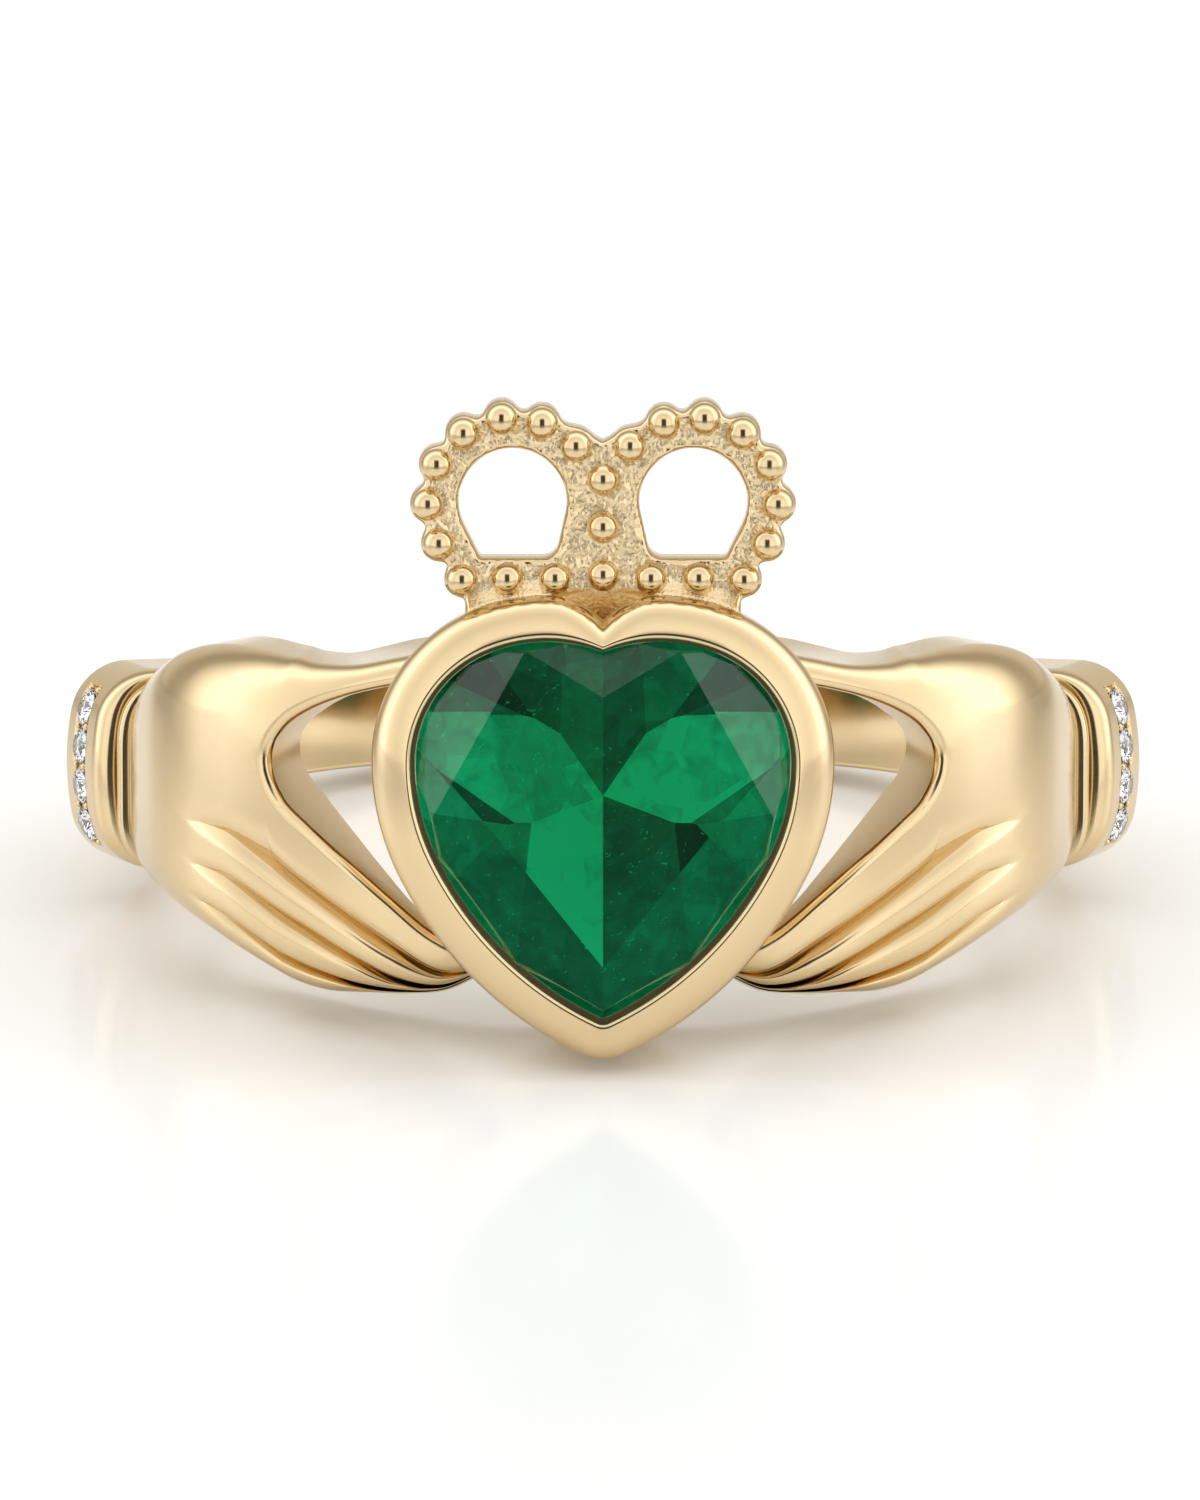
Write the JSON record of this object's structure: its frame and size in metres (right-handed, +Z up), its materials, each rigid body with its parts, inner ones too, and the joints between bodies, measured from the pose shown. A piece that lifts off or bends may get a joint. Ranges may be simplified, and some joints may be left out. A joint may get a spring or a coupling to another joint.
{
  "type": "claddagh ring",
  "caption": "Gold finger ring: a hand each side holds a heart-cut green stone in a bezel under a beaded crown, with small stones channel-set in the cuffs.",
  "frame": {"origin": "middle of the finger hole, on its axis, half way up the back shank", "axes": "+Z up, off the surface that the ring lies on; -Y towards the heart; +X towards the right hand as seen from the front. The finger hole's axis leans back by about 10 degrees from +Z towards +Y."},
  "size_m": [0.0216, 0.0227, 0.0128],
  "materials": {
    "yellow_gold": "polished pale yellow gold",
    "emerald": "faceted and polished",
    "diamond": "faceted and polished"
  },
  "bodies": {
    "root": {"ring_casting": "yellow_gold", "heart_emerald": "emerald", "diamond_left_1": "diamond", "diamond_left_2": "diamond", "diamond_left_3": "diamond", "diamond_left_4": "diamond", "diamond_right_1": "diamond", "diamond_right_2": "diamond", "diamond_right_3": "diamond", "diamond_right_4": "diamond"}
  },
  "joints": []
}
